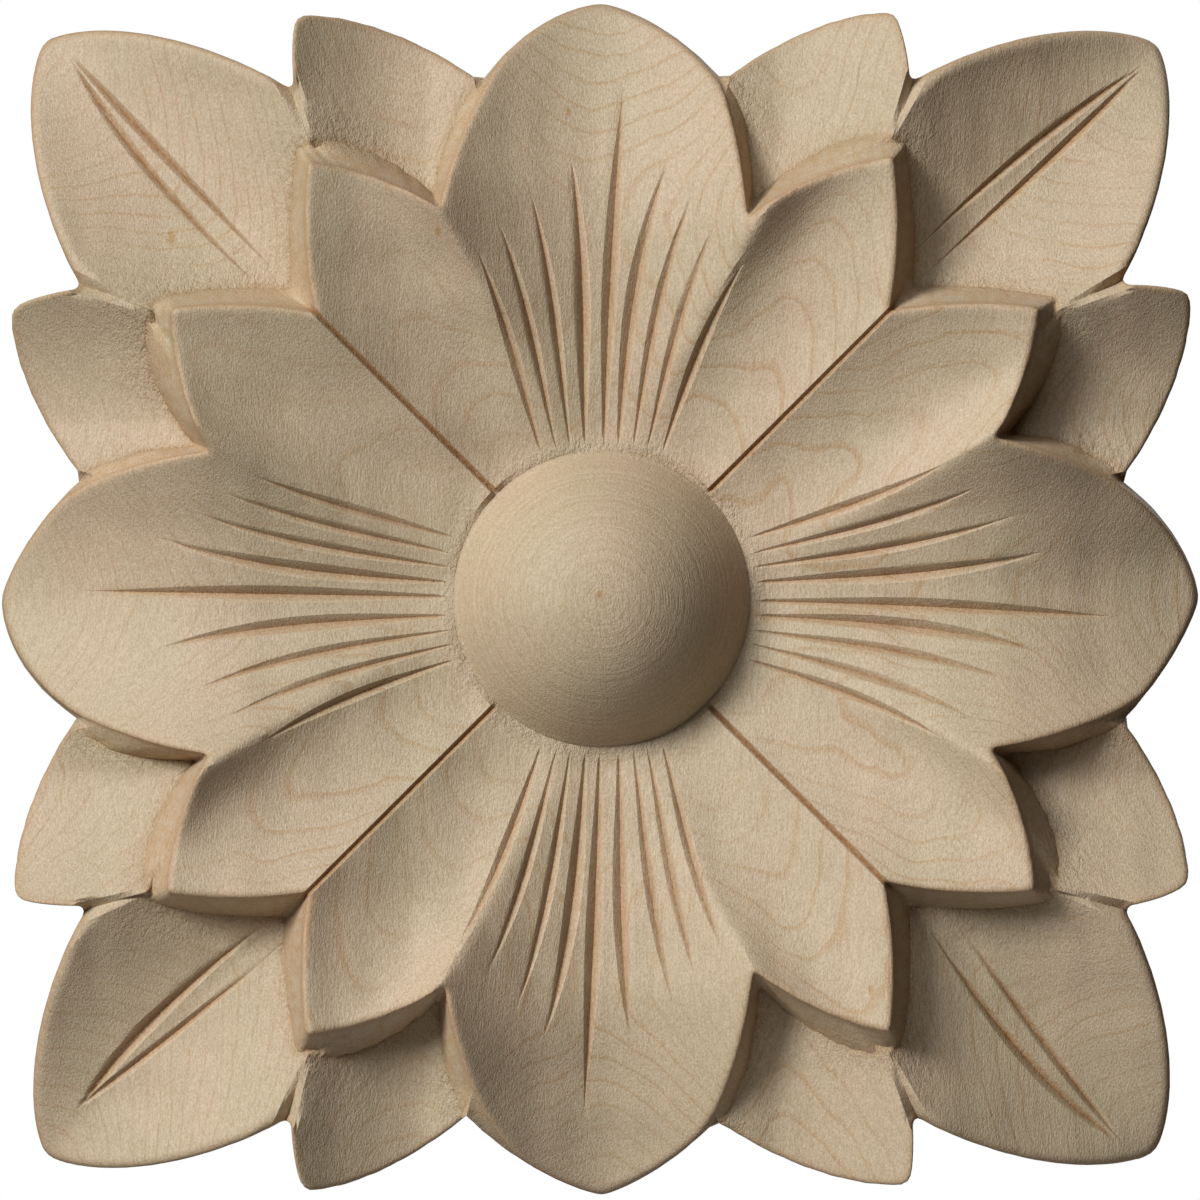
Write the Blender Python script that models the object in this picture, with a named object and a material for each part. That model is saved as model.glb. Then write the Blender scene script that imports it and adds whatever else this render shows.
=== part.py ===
"""A carved wooden rosette for a wall, a frieze or a cabinet door.

The rosette is one block of maple, flat at the back. Its flower has four fluted petals and
eight side petals round a plain boss, and lies over eight small leaves and four corner leaves.
The back lies in the plane Y = 0 with its middle at the origin, and the carving faces -Y.

Sizes are in millimetres and turns in degrees. A place on the face is given by its turn, which
runs clockwise from the nearest of the four petals, and its reach from the middle of the boss.
Heights are above the root of the petals. The pattern is an eighth of a circle, drawn eight
times, each time with the small slips of a carver's hand.
"""
import math

import bmesh
import bpy
import numpy as np

METRES = 0.001

# The boss and the block
BOSS_RADIUS = 18.9
BOSS_HEIGHT = 14.9
BOSS_POWER = 2.14
ROOT_FILLET = 0.6
BACK = -13.7

# Fluted petals: their axis rises gently, then droops to the tip, and both sides curve up
PETAL_REACH = (76.0, 76.1, 76.0, 76.8)
PETAL_RISE = 0.10
PETAL_DROOP = 0.53
PETAL_KNEE = 51.0
PETAL_KNEE_SPREAD = 7.0
PETAL_SIDE_RISE = 6.6
PETAL_HALF_WIDTH = 16.6
PETAL_EDGE_DROP = 3.0
PETAL_INSET = 0.3

# Side petals: a hollow along this turn, which climbs outwards to the tip
SIDE_AXIS = 31.5
SIDE_CLIMB = 0.15
SIDE_CURL = 0.0017
SIDE_CREST_RISE = 3.7
SIDE_CREST_WIDTH = 7.65
SIDE_CREST_REACH = 49.7
SIDE_DIAGONAL_RISE = 3.9
SIDE_DIAGONAL_WIDTH = 11.9
CREST_SOFTNESS = 0.8

# Small leaves and corner leaves, which lie below the flower
SMALL_AXIS = 22.3
SMALL_HEIGHT = -1.0
SMALL_REACH = 63.8
SMALL_FALL = 0.24
SMALL_RIM_RISE = 6.4
SMALL_RIM_WIDTH = 15.3
SMALL_INNER_RISE = 0.15
CORNER_HEIGHT = -1.8
CORNER_REACH = 71.4
CORNER_FALL = 0.28
CORNER_SIDE_RISE = 5.0
CORNER_HALF_WIDTH = 12.75
CORNER_RIM = 16.5
CORNER_TIP_DROOP = 0.25
CORNER_TIP_KNEE = 96.0
CORNER_TIP_SPREAD = 4.0

# The valley between small leaf and corner leaf, at its inner and at its outer end: its depth, the
# width of the small leaf's wall and the width of the bevel on the corner leaf
VALLEY_DEPTHS = (1.1, 2.3)
VALLEY_WALLS = (0.8, 1.7)
VALLEY_BEVELS = (0.8, 2.6)

# Turn and reach of the outline's corners in each eighth, clockwise from the top petal
PETAL_NOTCH = ((13.2, 67.8), (13.0, 67.8), (13.2, 68.1), (12.5, 68.0),
               (14.7, 68.0), (12.8, 68.6), (13.2, 67.9), (13.2, 67.6))
SMALL_TIP = ((26.5, 83.1), (27.5, 84.0), (26.0, 82.8), (27.7, 83.7),
             (26.8, 84.0), (27.0, 83.5), (26.2, 83.5), (27.7, 83.4))
LEAF_NOTCH = ((30.8, 76.2), (31.2, 76.6), (30.5, 76.7), (31.0, 76.2),
              (31.0, 76.5), (30.8, 75.8), (30.8, 76.7), (31.2, 75.2))
SIDE_NOTCH = ((20.9, 51.6), (22.3, 53.5), (21.0, 52.6), (22.2, 50.6),
              (22.1, 52.6), (21.6, 53.3), (20.6, 53.0), (22.5, 53.3))
SIDE_TIP = ((33.5, 66.7), (33.7, 66.2), (34.0, 65.8), (33.7, 65.6),
            (34.2, 66.4), (34.1, 66.1), (34.0, 65.5), (34.0, 66.3))
# Clockwise from the top right corner: reach of the leaf's tip and of the cleft in the flower
CORNER_REACHES = (101.2, 100.8, 101.4, 101.7)
CLEFT_REACHES = (51.3, 50.4, 52.3, 51.1)

# The wall under the flower's edge spreads outwards as it falls
WALL_SPREAD = {"side_notch": 2.2, "side_tip": 2.5, "cleft": 4.6}

# Flutes: turns of the nine outer ends on each petal, clockwise from the top, and their reach
FLUTE_TURNS = ((-19.7, -15.4, -10.0, -4.0, 2.4, 8.6, 12.7, 16.9, 23.0),
               (-21.6, -16.7, -11.4, -6.1, 2.0, 6.9, 11.3, 18.0, 22.4),
               (-18.8, -14.0, -10.1, -3.8, 2.0, 7.6, 11.8, 17.2, 22.6),
               (-23.0, -17.6, -12.6, -6.3, 0.9, 7.8, 12.1, 15.8, 19.6))
FLUTE_REACHES = (66.0, 56.5, 53.0, 50.0, 47.0)
FLUTE_ROOT_TURNS = (0.8, 6.0, 11.6, 16.8, 22.4)
FLUTE_ROOT_REACH = 20.6
FLUTE_EDGE_TURNS = (0.0, 5.6, 10.4, 16.2)
FLUTE_BOW = 1.3
FLUTE_HALF_WIDTHS = (1.12, 1.08, 0.78, 0.74, 0.80)
FLUTE_SLOPE = 0.68
FLUTE_WIDEST = 0.5

# The straight cut between side petals, and the two slits in each corner leaf: how far each
# slit is turned from the corner's diagonal at its outer and at its inner end
CUT_HALF_WIDTH = 0.45
CUT_DEPTH = 0.75
SLIT_TURNS = (((-0.4, -3.0), (0.1, 0.6)),
              ((0.6, -2.6), (1.8, 0.5)),
              ((0.3, -2.2), (1.2, 1.4)),
              ((-0.2, -2.6), (0.5, 0.4)))
SLIT_OUTER_REACH = 97.0
SLIT_INNER_REACH = 58.0
SLIT_HALF_WIDTH = 0.6
SLIT_DEPTH = 0.7

# Rows of the net: parts of the way across the boss, the flower and the leaves
BOSS_ROWS = (0.34, 0.62, 0.84, 1.0)
FLOWER_ROWS = (0.0, 0.05, 0.16, 0.31, 0.46, 0.61, 0.75, 0.88, 1.0)
LEAF_ROWS = (0.0, 0.16, 0.36, 0.58, 0.80, 1.0)
FLOWER_START = 19.6
LEAF_START = 57.0
LEAST_TURN = 0.22
FLUTE_LINE_START = 1.06
FLUTE_LINE_SPREAD = 13.0
PETAL_LINES = 8
NOTCH_SHARES = (0.25, 0.36, 0.47, 0.70, 0.88, 1.0)
LEAF_SHARES = (0.14, 0.20, 0.26, 0.40, 0.54, 0.61, 0.68, 0.83, 1.0)
EIGHTHS = 8
WELD = 0.005

WOOD = (0.62, 0.47, 0.33, 1.0)
WOOD_ROUGHNESS = 0.62


def clear_scene():
    for thing in list(bpy.data.objects):
        bpy.data.objects.remove(thing, do_unlink=True)


def bend(value, knee, spread):
    """Nearly nothing below the knee and nearly value - knee above it, with a soft turn."""
    past = value - knee
    return 0.5 * (past + np.sqrt(past ** 2 + spread ** 2))


def softer_least(first, second, softness):
    """The lower of two heights, with the ridge where they cross rounded off."""
    return 0.5 * (first + second - np.sqrt((first - second) ** 2 + softness ** 2))


def petal_and_side(eighth):
    """Number of the petal that an eighth belongs to, and +1 where it runs on clockwise."""
    return (eighth + 1) // 2 % 4, 1 if eighth % 2 == 0 else -1


def between(turn, start, end, power, from_end=False):
    """Reach between two corners of an outline, along a power curve that is flat at one of them."""
    part = np.clip((turn - start[0]) / (end[0] - start[0]), 0.0, 1.0)
    share = 1.0 - (1.0 - part) ** power if from_end else part ** power
    return start[1] + (end[1] - start[1]) * share


def outer_edge(eighth, turn):
    """Reach of the whole outline: petal, small leaf, then corner leaf."""
    petal, _ = petal_and_side(eighth)
    tip, notch = (0.0, PETAL_REACH[petal]), PETAL_NOTCH[eighth]
    small, fork = SMALL_TIP[eighth], LEAF_NOTCH[eighth]
    corner = (45.0, CORNER_REACHES[eighth // 2])
    pieces = [between(turn, tip, notch, 1.5), between(turn, notch, small, 1.33, True),
              between(turn, small, fork, 1.2), between(turn, fork, corner, 1.36, True)]
    return np.select([turn <= notch[0], turn <= small[0], turn <= fork[0]], pieces[:3], pieces[3])


def flower_edge(eighth, turn):
    """Reach of the flower's own edge: petal, then side petal out to its tip and back to the cleft."""
    petal, _ = petal_and_side(eighth)
    tip, notch = (0.0, PETAL_REACH[petal] - PETAL_INSET), SIDE_NOTCH[eighth]
    side, cleft = SIDE_TIP[eighth], (45.0, CLEFT_REACHES[eighth // 2])
    pieces = [between(turn, tip, notch, 1.75), between(turn, notch, side, 1.12, True)]
    return np.select([turn <= notch[0], turn <= side[0]], pieces, between(turn, side, cleft, 1.0))


def wall_foot(eighth, turn):
    """Reach at which the wall under the flower's edge meets the leaves."""
    start = PETAL_NOTCH[eighth]
    notch = (SIDE_NOTCH[eighth][0], SIDE_NOTCH[eighth][1] + WALL_SPREAD["side_notch"])
    side = (SIDE_TIP[eighth][0] + 0.2, SIDE_TIP[eighth][1] + WALL_SPREAD["side_tip"])
    cleft = (45.0, CLEFT_REACHES[eighth // 2] + WALL_SPREAD["cleft"])
    pieces = [outer_edge(eighth, turn), between(turn, start, notch, 1.3),
              between(turn, notch, side, 1.9, True)]
    return np.select([turn <= start[0], turn <= notch[0], turn <= side[0]], pieces,
                     between(turn, side, cleft, 1.0))


def flute_turn(eighth, flute, reach):
    """Turn of a flute's middle: it starts at the boss, bows inwards and then splays to its tip."""
    petal, side = petal_and_side(eighth)
    end = side * FLUTE_TURNS[petal][4 + side * flute]
    root = FLUTE_ROOT_TURNS[flute] if flute else side * FLUTE_ROOT_TURNS[0]
    last = FLUTE_EDGE_TURNS[flute] if flute < 4 else SIDE_NOTCH[eighth][0]
    tip_reach = FLUTE_REACHES[flute]
    edge_reach = flower_edge(eighth, last)
    along = np.clip((reach - FLUTE_ROOT_REACH) / (tip_reach - FLUTE_ROOT_REACH), 0.0, 1.0)
    bow = FLUTE_BOW * 4.0 * along * (1.0 - along) if flute else 0.0
    beyond = np.clip((reach - tip_reach) / (edge_reach - tip_reach), 0.0, 1.0)
    return root + (end - root) * along - bow + (last - end) * beyond


def flute_half_width(flute, reach):
    """Half the width of a flute: thin at the boss, widest at its middle, pointed at its outer end."""
    along = (reach - FLUTE_ROOT_REACH) / (FLUTE_REACHES[flute] - FLUTE_ROOT_REACH)
    inside = np.clip(along, 0.0, 1.0)
    opening = 0.28 + 0.72 * np.sin(0.5 * math.pi * np.minimum(inside / FLUTE_WIDEST, 1.0)) ** 1.3
    closing = 1.0 - np.clip((inside - FLUTE_WIDEST) / (1.0 - FLUTE_WIDEST), 0.0, 1.0) ** 1.7
    full = np.where((along > 0.0) & (along < 1.0), opening * closing, 0.0)
    return FLUTE_HALF_WIDTHS[flute] * full


def slit_turn(eighth, reach):
    """Turn of the middle of the slit that lies in this eighth of a corner leaf."""
    _, side = petal_and_side(eighth)
    outer, inner = SLIT_TURNS[eighth // 2][0 if side > 0 else 1]
    part = np.clip((SLIT_OUTER_REACH - reach) / (SLIT_OUTER_REACH - SLIT_INNER_REACH), 0.0, 1.0)
    return 45.0 + side * (outer + (inner - outer) * part)


def slit_fullness(reach):
    """How open a slit is: pointed at both ends and widest a third of the way in."""
    part = (SLIT_OUTER_REACH - reach) / (SLIT_OUTER_REACH - SLIT_INNER_REACH)
    return np.sin(math.pi * np.clip(part, 0.0, 1.0) ** 0.7)


def rib_turn(eighth, reach):
    """Turn of the rib between the two slits of a corner leaf, seen from this eighth."""
    _, side = petal_and_side(eighth)
    mate = eighth + side
    here, there = slit_turn(eighth, reach), 90.0 - slit_turn(mate, reach)
    return 0.5 * (here + there)


def groove(across, half_width, depth):
    """Depth of a V cut at a distance across it."""
    return depth * np.clip(1.0 - np.abs(across) / np.maximum(half_width, 1e-6), 0.0, 1.0)


def arc_across(turn, middle, reach):
    return np.radians(turn - middle) * reach


def boss_height(reach):
    """A dome that steepens towards its foot."""
    return BOSS_HEIGHT * (1.0 - (reach / BOSS_RADIUS) ** BOSS_POWER)


def flower_height(eighth, turn, reach):
    """Hollow petal and hollow side petal, whichever is lower, less the flutes and the cut."""
    across, out = reach * np.sin(np.radians(turn)), reach * np.cos(np.radians(turn))
    petal = (PETAL_RISE * (out - BOSS_RADIUS) - PETAL_DROOP * bend(out, PETAL_KNEE, PETAL_KNEE_SPREAD)
             + PETAL_SIDE_RISE * (np.abs(across) / PETAL_HALF_WIDTH) ** 1.8)
    off = reach * np.sin(np.radians(turn - SIDE_AXIS))
    length = reach * np.cos(np.radians(turn - SIDE_AXIS)) - BOSS_RADIUS
    to_crest = (SIDE_CREST_RISE * (np.maximum(-off, 0.0) / SIDE_CREST_WIDTH) ** 1.35
                * (reach / SIDE_CREST_REACH) ** 1.6)
    to_diagonal = SIDE_DIAGONAL_RISE * (np.maximum(off, 0.0) / SIDE_DIAGONAL_WIDTH) ** 1.8
    side = SIDE_CLIMB * length + SIDE_CURL * length ** 2 + to_crest + to_diagonal
    height = softer_least(petal, side, CREST_SOFTNESS)
    height = height + ROOT_FILLET * np.exp(-(reach - BOSS_RADIUS))
    for flute in range(5):
        half_width = flute_half_width(flute, reach)
        gap = arc_across(turn, flute_turn(eighth, flute, reach), reach)
        height = height - groove(gap, half_width, FLUTE_SLOPE * half_width)
    return height - groove(arc_across(turn, 45.0, reach), CUT_HALF_WIDTH, CUT_DEPTH)


def valley_turn(eighth, reach):
    """Turn of the valley where a small leaf lies against a corner leaf, and its share outwards."""
    notch = LEAF_NOTCH[eighth]
    inner = (SIDE_TIP[eighth][0] - 1.4, SIDE_TIP[eighth][1] + WALL_SPREAD["side_tip"])
    part = np.clip((notch[1] - reach) / (notch[1] - inner[1]), 0.0, 1.0)
    return notch[0] + (inner[0] - notch[0]) * part, 1.0 - part


def grown(ends, share):
    return ends[0] + (ends[1] - ends[0]) * share


def leaf_height(eighth, turn, reach):
    """Small leaf before the valley and corner leaf after it, both hollow, less the slit."""
    across, out = reach * np.sin(np.radians(turn)), reach * np.cos(np.radians(turn))
    small = (SMALL_HEIGHT - SMALL_FALL * (out - SMALL_REACH)
             + SMALL_RIM_RISE * (np.maximum(across - SMALL_AXIS, 0.0) / SMALL_RIM_WIDTH) ** 1.8
             + SMALL_INNER_RISE * np.maximum(SMALL_AXIS - across, 0.0) ** 1.2)
    half = math.sqrt(0.5)
    along, off = (across + out) * half, np.abs(out - across) * half
    corner = (CORNER_HEIGHT - CORNER_FALL * (along - CORNER_REACH)
              + CORNER_SIDE_RISE * (np.minimum(off, CORNER_RIM) / CORNER_HALF_WIDTH) ** 1.55
              - CORNER_TIP_DROOP * bend(along, CORNER_TIP_KNEE, CORNER_TIP_SPREAD))
    valley, outwards = valley_turn(eighth, reach)
    height = np.where(turn <= valley, small, corner)
    gap = arc_across(turn, valley, reach)
    width = np.where(gap < 0.0, grown(VALLEY_WALLS, outwards), grown(VALLEY_BEVELS, outwards))
    height = height - groove(gap, width, grown(VALLEY_DEPTHS, outwards))
    full = slit_fullness(reach)
    gap = arc_across(turn, slit_turn(eighth, reach), reach)
    return height - groove(gap, SLIT_HALF_WIDTH * full, SLIT_DEPTH * full)


def in_order(turns):
    """Turns across an eighth, each pushed on where it would touch the one before."""
    pushes = LEAST_TURN * np.arange(len(turns))
    return np.maximum.accumulate(np.asarray(turns) - pushes) + pushes


def steps(start, end, shares):
    return [start + (end - start) * share for share in shares]


def flower_lines(eighth, part):
    """Turns of the net's lines over an eighth of the flower, part of the way out to its edge."""
    notch, tip = SIDE_NOTCH[eighth][0], SIDE_TIP[eighth][0]
    lines = []
    for flute in range(5):
        last = FLUTE_EDGE_TURNS[flute] if flute < 4 else notch
        reach = FLOWER_START + part * (flower_edge(eighth, last) - FLOWER_START)
        middle = flute_turn(eighth, flute, reach)
        half = math.degrees(flute_half_width(flute, reach) / reach)
        half += FLUTE_LINE_SPREAD * max(reach / FLUTE_REACHES[flute] - FLUTE_LINE_START, 0.0)
        lines += [middle - half, middle, middle + half]
    lines = lines[1:]
    before, after = lines[:PETAL_LINES], lines[PETAL_LINES:]
    gap = 0.5 * (before[-1] + after[0])
    gap += (PETAL_NOTCH[eighth][0] - gap) * part ** 4
    crest = 0.5 * (after[2] + after[3])
    lines = before + [gap] + after[:3] + [crest] + after[3:]
    lines += steps(lines[-1], tip, (0.22, 0.45, 0.68, 0.77, 0.86, 1.0))
    cleft = FLOWER_START + part * (CLEFT_REACHES[eighth // 2] - FLOWER_START)
    edge = 45.0 - math.degrees(CUT_HALF_WIDTH / cleft)
    return in_order(lines + steps(tip, edge, (0.20, 0.40, 0.58, 0.72, 0.82, 0.91, 1.0)) + [45.0])


def leaf_lines(eighth, part):
    """Turns of the same lines over the leaves, from the foot of the wall out to the outline."""
    petal_notch, side_notch = PETAL_NOTCH[eighth][0], SIDE_NOTCH[eighth][0]
    foot_reach = SIDE_TIP[eighth][1] + WALL_SPREAD["side_tip"]
    valley, _ = valley_turn(eighth, foot_reach)
    fork = LEAF_NOTCH[eighth]
    small = SMALL_TIP[eighth][0]
    top = list(flower_lines(eighth, 1.0))
    inner = top[:PETAL_LINES] + [petal_notch] + steps(petal_notch, side_notch, NOTCH_SHARES)
    inner += steps(side_notch, valley, (0.08, 0.30, 0.56))
    outer = top[:PETAL_LINES] + [petal_notch] + steps(petal_notch, small, LEAF_SHARES)
    inner += [valley - math.degrees(VALLEY_WALLS[0] / foot_reach), valley,
              valley + math.degrees(VALLEY_BEVELS[0] / foot_reach), SIDE_TIP[eighth][0] + 0.2]
    outer += [fork[0] - math.degrees(VALLEY_WALLS[1] / fork[1]), fork[0],
              fork[0] + math.degrees(VALLEY_BEVELS[1] / fork[1]), fork[0] + 3.6]
    lines = [a + (b - a) * part for a, b in zip(inner, outer)]
    reach = LEAF_START + part * (SLIT_OUTER_REACH - LEAF_START)
    slit, rib = slit_turn(eighth, reach), rib_turn(eighth, reach)
    half = math.degrees(SLIT_HALF_WIDTH * slit_fullness(reach) / reach)
    lines += steps(lines[-1], slit - half, (0.27, 0.54, 0.79))
    return in_order(lines + [slit - half, slit, slit + half, 0.5 * (slit + half + rib), rib])


def eighth_net(eighth):
    """Turn, reach and height of every crossing over one eighth, row by row from the boss down."""
    root, edge = flower_lines(eighth, 0.0), flower_lines(eighth, 1.0)
    foot, rim = leaf_lines(eighth, 0.0), leaf_lines(eighth, 1.0)
    rows = []
    for share in BOSS_ROWS:
        reach = np.full(len(root), BOSS_RADIUS * share)
        rows.append((root, reach, boss_height(reach)))
    for part in FLOWER_ROWS:
        turn = flower_lines(eighth, part)
        reach = FLOWER_START + part * (flower_edge(eighth, edge) - FLOWER_START)
        rows.append((turn, reach, flower_height(eighth, turn, reach)))
    below_petal = rows[-1][2] - PETAL_EDGE_DROP
    start, end = wall_foot(eighth, foot), outer_edge(eighth, rim)
    on_petal = np.arange(len(foot)) < PETAL_LINES
    for part in LEAF_ROWS:
        turn = leaf_lines(eighth, part)
        turn[:PETAL_LINES] = foot[:PETAL_LINES]
        reach = np.where(on_petal, start, start + part * (end - start))
        rows.append((turn, reach, np.where(on_petal, below_petal, leaf_height(eighth, turn, reach))))
    rows.append((turn, reach, np.full(len(turn), BACK)))
    return np.array(rows)


def whole_net():
    """The eight eighths side by side, clockwise, as points; every second one is mirrored."""
    nets = []
    for eighth in range(EIGHTHS):
        turn, reach, height = np.moveaxis(eighth_net(eighth), 1, 0)
        _, side = petal_and_side(eighth)
        turn = 90.0 * ((eighth + 1) // 2) + side * turn
        net = np.stack((turn, reach, height), axis=-1)
        nets.append(net[:, :-1] if side > 0 else net[:, :0:-1])
    turn, reach, height = np.moveaxis(np.concatenate(nets, axis=1), -1, 0)
    turn = np.radians(turn)
    points = np.stack((reach * np.sin(turn), BACK - height, reach * np.cos(turn)), axis=-1)
    return points * METRES


def net_faces(rows, columns):
    """Four-sided faces between neighbouring rows of a net that closes on itself sideways."""
    corner = np.arange(rows * columns).reshape(rows, columns)
    beside = np.roll(corner, -1, axis=1)
    return np.stack((corner[:-1], beside[:-1], beside[1:], corner[1:]), axis=-1).reshape(-1, 4)


def fan_faces(ring, middle):
    return np.stack((ring, np.roll(ring, -1), np.full(len(ring), middle)), axis=-1)


def make_rosette():
    """One closed solid: the net, a point on top of the boss and a point in the middle of the back."""
    net = whole_net()
    rows, columns = net.shape[:2]
    top = len(net.reshape(-1, 3))
    boss_top = (0.0, (BACK - BOSS_HEIGHT) * METRES, 0.0)
    points = np.concatenate((net.reshape(-1, 3), [boss_top, (0.0, 0.0, 0.0)]))
    faces = net_faces(rows, columns).tolist()
    faces += fan_faces(np.arange(columns), top).tolist()
    faces += fan_faces(np.arange(top - columns, top), top + 1).tolist()
    mesh = bpy.data.meshes.new("rosette")
    mesh.from_pydata(points.tolist(), [], faces)
    solid = bmesh.new()
    solid.from_mesh(mesh)
    bmesh.ops.remove_doubles(solid, verts=solid.verts, dist=WELD * METRES)
    bmesh.ops.triangulate(solid, faces=solid.faces)
    bmesh.ops.recalc_face_normals(solid, faces=solid.faces)
    solid.to_mesh(mesh)
    solid.free()
    mesh.materials.append(wood_material())
    rosette = bpy.data.objects.new("rosette", mesh)
    bpy.context.scene.collection.objects.link(rosette)
    mesh.shade_smooth()
    mesh.set_sharp_from_angle(angle=math.radians(35.0))


def wood_material():
    wood = bpy.data.materials.new("maple")
    wood.use_nodes = True
    shader = wood.node_tree.nodes["Principled BSDF"]
    shader.inputs["Base Color"].default_value = WOOD
    shader.inputs["Roughness"].default_value = WOOD_ROUGHNESS
    shader.inputs["Metallic"].default_value = 0.0
    return wood


clear_scene()
make_rosette()
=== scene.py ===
"""Looks of the carved maple rosette: its fine carved surface, the wood, the light and the camera.

The carving is one net of lines and rows laid over the whole face. Sizes are in millimetres and
turns in degrees. A place on the face is given by its turn, clockwise from the nearest of the four
petals, and its reach from the middle of the boss. Heights are above the root of the petals. The
pattern is an eighth of a circle, carved eight times with the small slips of a carver's hand.
"""
import math

import bmesh
import bpy
import numpy as np
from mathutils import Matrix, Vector


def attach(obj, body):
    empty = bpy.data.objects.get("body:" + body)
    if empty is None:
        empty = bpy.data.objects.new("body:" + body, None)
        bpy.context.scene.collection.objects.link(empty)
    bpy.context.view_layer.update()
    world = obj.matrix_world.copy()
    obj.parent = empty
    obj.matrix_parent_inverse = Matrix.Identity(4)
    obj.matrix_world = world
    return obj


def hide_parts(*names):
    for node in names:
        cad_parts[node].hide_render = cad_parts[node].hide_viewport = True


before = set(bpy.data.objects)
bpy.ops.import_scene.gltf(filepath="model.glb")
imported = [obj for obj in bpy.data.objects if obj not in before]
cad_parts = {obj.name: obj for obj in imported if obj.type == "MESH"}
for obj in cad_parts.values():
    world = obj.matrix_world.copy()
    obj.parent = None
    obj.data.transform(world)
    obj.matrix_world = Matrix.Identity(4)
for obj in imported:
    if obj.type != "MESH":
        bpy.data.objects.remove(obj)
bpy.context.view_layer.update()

METRES = 0.001
DIAGONAL = 45.0

# The boss and the block
BOSS_RADIUS = 18.9
BOSS_HEIGHT = 14.9
BOSS_POWER = 2.3
ROOT_FILLET = 0.5
BACK = -13.7

# Fluted petals: their axis rises gently, then droops to the tip, and both sides curve up
PETAL_REACH = (76.7, 76.9, 76.8, 77.4)
PETAL_RISE = 0.10
PETAL_DROOP = 0.53
PETAL_KNEE = 51.0
PETAL_KNEE_SPREAD = 7.0
PETAL_SIDE_RISE = 6.6
PETAL_HALF_WIDTH = 16.6
PETAL_EDGE_DROP = 3.0
PETAL_INSET = 0.3

# Side petals: a hollow along this turn, which climbs outwards to the tip
SIDE_AXIS = 31.5
SIDE_CLIMB = 0.15
SIDE_CURL = 0.0017
SIDE_CREST_RISE = 3.7
SIDE_CREST_WIDTH = 7.65
SIDE_CREST_REACH = 49.7
SIDE_DIAGONAL_RISE = 3.9
SIDE_DIAGONAL_WIDTH = 11.9
CREST_POWER = 2.2
CREST_REACH_POWER = 1.6
CREST_SOFTNESS = 1.0
HOLLOW_POWER = 1.8

# Small leaves and corner leaves, which lie below the flower
SMALL_AXIS = 22.3
SMALL_HEIGHT = -1.0
SMALL_REACH = 63.8
SMALL_FALL = 0.24
SMALL_RIM_RISE = 6.4
SMALL_RIM_WIDTH = 15.3
SMALL_INNER_RISE = 0.15
SMALL_INNER_POWER = 1.2
CORNER_HEIGHT = -1.8
CORNER_REACH = 71.4
CORNER_FALL = 0.28
CORNER_SIDE_RISE = 5.0
CORNER_HALF_WIDTH = 12.75
CORNER_SIDE_POWER = 1.55
CORNER_RIM = 16.5
CORNER_TIP_DROOP = 0.25
CORNER_TIP_KNEE = 96.0
CORNER_TIP_SPREAD = 4.0

# The valley between small leaf and corner leaf, at its inner and at its outer end: its depth, the
# width of the small leaf's wall and the width of the bevel on the corner leaf
VALLEY_START = 1.4
VALLEY_DEPTHS = (0.0, 2.3)
VALLEY_WALLS = (0.6, 1.0)
VALLEY_BEVELS = (0.3, 1.6)

# Turn and reach of the outline's corners in each eighth, clockwise from the top petal
PETAL_NOTCH = ((13.2, 67.8), (13.0, 67.8), (13.2, 68.1), (12.5, 68.0),
               (14.7, 68.0), (12.8, 68.6), (13.2, 67.9), (13.2, 67.6))
SMALL_TIP = ((26.5, 83.1), (27.5, 84.0), (26.0, 82.8), (27.7, 83.7),
             (26.8, 84.0), (27.0, 83.5), (26.2, 83.5), (27.7, 83.4))
LEAF_NOTCH = ((30.8, 76.2), (31.2, 76.6), (30.5, 76.7), (31.0, 76.2),
              (31.0, 76.5), (30.8, 75.8), (30.8, 76.7), (31.2, 75.2))
SIDE_NOTCH = ((20.9, 51.6), (22.3, 53.5), (21.0, 52.6), (22.2, 50.6),
              (22.1, 52.6), (21.6, 53.3), (20.6, 53.0), (22.5, 53.3))
SIDE_TIP = ((33.5, 66.7), (33.7, 66.2), (34.0, 65.8), (33.7, 65.6),
            (34.2, 66.4), (34.1, 66.1), (34.0, 65.5), (34.0, 66.3))
# How the outline and the flower's edge fall away beside the petal's tip in each eighth, how far
# the flower's edge lies inside the petal's notch, and how the wall's foot bends from there
OUTLINE_POWERS = (1.38, 1.57, 1.20, 1.24, 1.29, 1.83, 1.27, 1.65)
PETAL_POWERS = (1.5, 1.6, 1.95, 1.7, 1.85, 1.8, 1.75, 2.1)
SHOULDER_GAPS = (0.9, 1.0, 2.3, 1.0, 3.5, 0.7, 1.6, 1.3)
FOOT_POWERS = (1.4, 1.5, 1.3, 1.3, 1.3, 1.9, 1.3, 1.3)
# How the other stretches of outline, edge and foot curve
SMALL_RISE_POWER = 1.33
SMALL_FALL_POWER = 1.2
CORNER_POWER = 1.36
SIDE_POWER = 1.12
SIDE_FOOT_POWER = 1.9
SIDE_FOOT_TURN = 0.2
# Clockwise from the top right corner: reach of the leaf's tip and of the cleft in the flower
CORNER_REACHES = (101.2, 100.8, 101.4, 101.7)
CLEFT_REACHES = (51.3, 50.4, 52.3, 51.1)

# The wall under the flower's edge spreads outwards as it falls
WALL_SPREAD = {"side_notch": 2.2, "side_tip": 2.5, "cleft": 4.6}

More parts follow.
